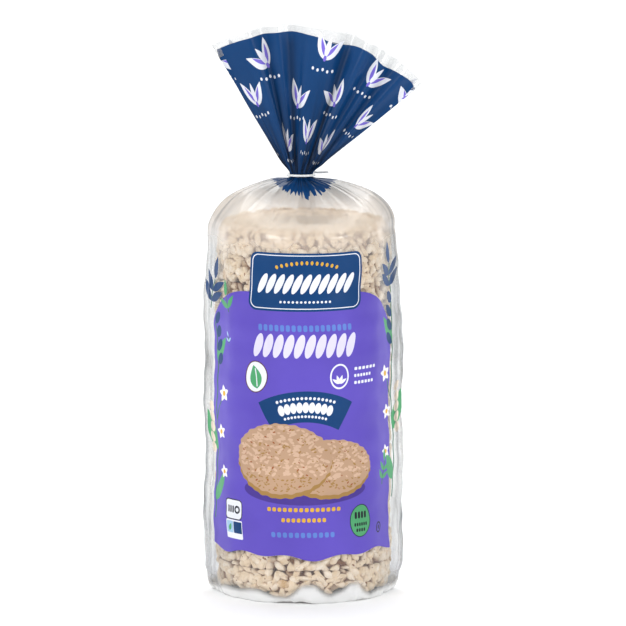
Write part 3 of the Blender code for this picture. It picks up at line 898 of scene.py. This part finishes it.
def printed_ink(name, code):
    """Ink under film: an even, opaque colour with the film's own gloss, laid a touch unevenly."""
    material, tree = new_material("Ink, " + name.replace("_", " "))
    place = add(tree, "TexCoord").outputs["Object"]
    cloud = add(tree, "TexNoise", {"Vector": place, "Scale": 28.0, "Detail": 2.0})
    lay_down = add(tree, "MapRange", {"Value": cloud.outputs["Fac"], 1: 0.3, 2: 0.7})
    dark = tuple(c * 0.90 for c in srgb(code)[:3]) + (1.0,)
    light = tuple(min(c * 1.04 + 0.003, 1.0) for c in srgb(code)[:3]) + (1.0,)
    colour = add(
        tree, "Mix", {0: lay_down.outputs["Result"], 6: dark, 7: light}, data_type="RGBA"
    )
    # Painted shade: the ink goes darker in the film's folds and creases.
    painted_fold_shade = add(tree, "Attribute", attribute_name="painted_fold_shade").outputs["Fac"]
    painted_shade_ink = tuple(c * 0.16 for c in srgb(code)[:3]) + (1.0,)
    fold_shaded_ink = add(tree, "Mix", {0: painted_fold_shade, 6: colour.outputs[2], 7: painted_shade_ink}, data_type="RGBA")
    surface = add(
        tree,
        "BsdfPrincipled",
        {
            "Base Color": fold_shaded_ink.outputs[2],
            "Roughness": 0.28,
            "IOR": 1.49,
            "Specular IOR Level": 0.15,
        },
    )
    add(tree, "OutputMaterial", {"Surface": surface.outputs["BSDF"]})
    return material


def sheet_outline():
    """The whole sheet's outline in millimetres, with a point at every step of its grid."""
    low, high = -1000.0 * BASE_RUN, cut_mm
    across = np.linspace(-ROUND / 2, ROUND / 2, int(ROUND / PLAIN_GRID) + 1)
    upward = np.linspace(low, high, int((high - low) / PLAIN_GRID) + 1)
    bottom = [(s, low) for s in across[:-1]]
    right = [(across[-1], w) for w in upward[:-1]]
    top = [(s, high) for s in across[:0:-1]]
    left = [(across[0], w) for w in upward[:0:-1]]
    return np.array(bottom + right + top + left), across, upward


def inside(points, outline):
    """Which points lie inside a closed outline: those that a level line to the right leaves once."""
    found = np.zeros(len(points), bool)
    for (s0, w0), (s1, w1) in zip(outline, np.roll(outline, -1, axis=0)):
        if w0 == w1:
            continue
        crossed = (points[:, 1] > min(w0, w1)) & (points[:, 1] <= max(w0, w1))
        found ^= crossed & (points[:, 0] < s0 + (points[:, 1] - w0) / (w1 - w0) * (s1 - s0))
    return found


def cut_sheet():
    """The sheet in triangles that follow every outline, and the ink of each triangle or -1."""
    outline, across, upward = sheet_outline()
    outlines = [outline] + [shape for _, shape in print_layers]
    near = kdtree.KDTree(sum(len(shape) for shape in outlines))
    for i, point in enumerate(np.concatenate(outlines)):
        near.insert((point[0], point[1], 0.0), i)
    near.balance()
    # The fins along the sides take points twice as close, for their narrow pleats.
    at_fins = across[np.abs(np.abs(across) - ROUND / 4) < 16.0] + PLAIN_GRID / 2
    grid = [
        (s, w)
        for j, w in enumerate(upward[1:-1])
        for s in np.concatenate([across[1:-1] + (0.0 if j % 2 else PLAIN_GRID * 0.25), at_fins])
        if near.find((s, w, 0.0))[2] > 0.45
    ]
    points = [Vector(p) for p in np.concatenate([*outlines, np.array(grid)])]
    edges, start = [], 0
    for shape in outlines:
        ends = np.arange(start, start + len(shape))
        edges += np.stack([ends, np.roll(ends, -1)], -1).tolist()
        start += len(shape)
    made = delaunay_2d_cdt(points, edges, [], 0, 1e-4, False)
    flat = np.array([tuple(p) for p in made[0]])
    faces = np.array(made[2])
    middles = flat[faces].mean(axis=1)
    faces = faces[inside(middles, outline)]
    middles = flat[faces].mean(axis=1)
    inks, names = np.full(len(faces), -1), list(INKS)
    for ink, shape in print_layers:
        low, high = shape.min(axis=0), shape.max(axis=0)
        near_it = np.flatnonzero(((middles >= low) & (middles <= high)).all(axis=1))
        inks[near_it[inside(middles[near_it], shape)]] = names.index(ink)
    return flat, faces, inks


flat, triangles, triangle_inks = cut_sheet()
sheet_s, sheet_w = flat[:, 0] / 1000.0, flat[:, 1] / 1000.0
sheet_points = film_shape(sheet_s, sheet_w)
corners = sheet_points[triangles]
facing = np.cross(corners[:, 1] - corners[:, 0], corners[:, 2] - corners[:, 0])
sheet_normals = np.zeros_like(sheet_points)
for corner in range(3):
    np.add.at(sheet_normals, triangles[:, corner], facing)
sheet_normals /= np.maximum(np.linalg.norm(sheet_normals, axis=1, keepdims=True), 1e-15)


def sheet_piece(name, chosen, materials):
    """A piece of the sheet that keeps the whole sheet's shading along its edges."""
    used, faces = np.unique(triangles[chosen], return_inverse=True)
    looks = film_looks(sheet_s[used], sheet_w[used])
    piece = mesh_piece(name, sheet_points[used], faces.reshape(-1, 3), materials, looks)
    piece.data.normals_split_custom_set_from_vertices(sheet_normals[used].tolist())
    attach(piece, "root")
    return piece


film = sheet_piece("film", triangle_inks < 0, [clear_film()])
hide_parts("bag")

ink_materials = [printed_ink(name, code) for name, code in INKS.items()]
printed = sheet_piece("print", triangle_inks >= 0, ink_materials)
printed.data.polygons.foreach_set("material_index", triangle_inks[triangle_inks >= 0])
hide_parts("bag")

# ---------------------------------------------------------------- the back seal
# The tube's two edges are lapped and heat-sealed down the middle of the back. The double film
# there is milky, and the sealing bar leaves it finely ribbed.

SEAL_HALF, SEAL_LOW, SEAL_HIGH = 0.0055, 0.004, NECK_W - 0.014
SEAL_OFF = 0.0005


def sealed_film():
    """Heat-sealed polypropylene: two layers in one, hazier than the plain film."""
    material, tree = new_material("Heat-sealed polypropylene")
    place = add(tree, "TexCoord").outputs["Object"]
    ribs = add(tree, "TexWave", {"Vector": place, "Scale": 260.0}, bands_direction="Z")
    ribbed = add(
        tree, "Bump", {"Height": ribs.outputs["Fac"], "Strength": 0.4, "Distance": 0.0002}
    )
    through = add(tree, "BsdfTransparent", {"Color": srgb("#ECEEF0")})
    surface = add(
        tree,
        "BsdfPrincipled",
        {
            "Base Color": srgb("#E9E9EC"),
            "Roughness": 0.22,
            "IOR": 1.49,
            "Normal": ribbed.outputs["Normal"],
        },
    )
    seal = add(
        tree, "MixShader", {0: 0.42, 1: through.outputs["BSDF"], 2: surface.outputs["BSDF"]}
    )
    add(tree, "OutputMaterial", {"Surface": seal.outputs["Shader"]})
    return material


def back_seal():
    across = np.linspace(-SEAL_HALF, SEAL_HALF, 7)
    upward = np.arange(SEAL_LOW, SEAL_HIGH, 0.0012)
    s, w = np.meshgrid(HALF_ROUND + across, upward)
    points = film_shape(s, w)
    out = np.stack([points[..., 0], points[..., 1], np.zeros_like(s)], -1)
    out /= np.linalg.norm(out, axis=-1, keepdims=True)
    lift = SEAL_OFF * (1.0 + 0.6 * (np.abs(across) / SEAL_HALF) ** 3)
    points = points + out * lift[None, :, None]
    rows = np.arange(s.size).reshape(s.shape)
    a, b, c, d = rows[:-1, :-1], rows[:-1, 1:], rows[1:, 1:], rows[1:, :-1]
    faces = np.concatenate([np.stack([a, b, c], -1), np.stack([a, c, d], -1)]).reshape(-1, 3)
    piece = mesh_piece("back_seal", points.reshape(-1, 3), faces, [sealed_film()])
    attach(piece, "root")


back_seal()

# ---------------------------------------------------------------- the tie
# A wire in a white polythene coat, wound once round the neck and twisted behind it to the right.
# The coat is drawn over the wire, so it is smooth and waxy, with a faint line along it.


def coated_wire():
    """Polythene: white, waxy and half dull."""
    material, tree = new_material("White polythene coat")
    place = add(tree, "TexCoord").outputs["Object"]
    scuffs = add(tree, "TexNoise", {"Vector": place, "Scale": 700.0, "Detail": 3.0})
    worn = add(tree, "MapRange", {"Value": scuffs.outputs["Fac"], 1: 0.35, 2: 0.7})
    colour = add(
        tree,
        "Mix",
        {0: worn.outputs["Result"], 6: srgb("#F4F4F2"), 7: srgb("#E6E6E4")},
        data_type="RGBA",
    )
    drawn = add(
        tree, "Bump", {"Height": scuffs.outputs["Fac"], "Strength": 0.3, "Distance": 0.0001}
    )
    surface = add(
        tree,
        "BsdfPrincipled",
        {
            "Base Color": colour.outputs[2],
            "Roughness": 0.42,
            "IOR": 1.51,
            "Normal": drawn.outputs["Normal"],
        },
    )
    add(tree, "OutputMaterial", {"Surface": surface.outputs["BSDF"]})
    return material


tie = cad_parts["tie"]
tie.data.materials.clear()
tie.data.materials.append(coated_wire())

# ---------------------------------------------------------------- the studio
# A white floor under a soft white room, softboxes in front, above and low down behind at each
# side. The low ones draw the bright lines along the film.


def studio_floor():
    """Matt white card."""
    material, tree = new_material("Matt white card")
    surface = add(tree, "BsdfDiffuse", {"Color": srgb("#F6F6F6")})
    add(tree, "OutputMaterial", {"Surface": surface.outputs["BSDF"]})
    mesh = bpy.data.meshes.new("studio_floor")
    half = 30.0
    mesh.from_pydata([(-half, -half, 0), (half, -half, 0), (half, half, 0), (-half, half, 0)], [], [(0, 1, 2, 3)])
    mesh.materials.append(material)
    floor = bpy.data.objects.new("studio_floor", mesh)
    bpy.context.scene.collection.objects.link(floor)


def softbox(name, place, aim, wide, tall, watts):
    lamp = bpy.data.lights.new(name, "AREA")
    lamp.shape, lamp.size, lamp.size_y, lamp.energy = "RECTANGLE", wide, tall, watts
    box = bpy.data.objects.new(name, lamp)
    box.location = place
    box.rotation_euler = (Vector(aim) - Vector(place)).to_track_quat("-Z", "Y").to_euler()
    bpy.context.scene.collection.objects.link(box)


studio_floor()
softbox("key", (-0.95, -1.15, 0.85), (0.0, 0.0, 0.16), 0.8, 1.1, 9.5)
softbox("fill", (1.15, -1.0, 0.6), (0.0, 0.0, 0.16), 0.7, 0.9, 6.0)
softbox("overhead", (0.0, 0.45, 1.3), (0.0, 0.0, 0.15), 1.6, 1.2, 9.0)
softbox("backdrop", (0.0, 2.6, 2.2), (0.0, 2.4, 0.0), 3.0, 2.4, 44.0)
softbox("left_edge", (-0.50, 0.34, 0.16), (0.0, 0.0, 0.14), 0.14, 0.42, 0.25)
softbox("right_edge", (0.50, 0.34, 0.16), (0.0, 0.0, 0.14), 0.14, 0.42, 0.25)

world = bpy.data.worlds.new("white_room")
world.use_nodes = True
world.node_tree.nodes["Background"].inputs["Color"].default_value = srgb("#F4F6F8")
world.node_tree.nodes["Background"].inputs["Strength"].default_value = 0.74
bpy.context.scene.world = world

VIEW_DISTANCE, VIEW_HEIGHT = 6.0, math.radians(9.5)
VIEW_ACROSS = 0.3474  # what the picture takes in at the object, side to side
aim = Vector((0.0054, 0.0, 0.1557))
camera_data = bpy.data.cameras.new("camera")
camera_data.sensor_width = 36.0
camera_data.lens = 36.0 * VIEW_DISTANCE / VIEW_ACROSS
camera_data.clip_end = 100.0
camera = bpy.data.objects.new("camera", camera_data)
back_off = Vector((0.0, -math.cos(VIEW_HEIGHT), math.sin(VIEW_HEIGHT)))
camera.location = aim + back_off * VIEW_DISTANCE
camera.rotation_euler = (-back_off).to_track_quat("-Z", "Y").to_euler()
bpy.context.scene.collection.objects.link(camera)
bpy.context.scene.camera = camera
bpy.context.scene.view_settings.view_transform = "Standard"
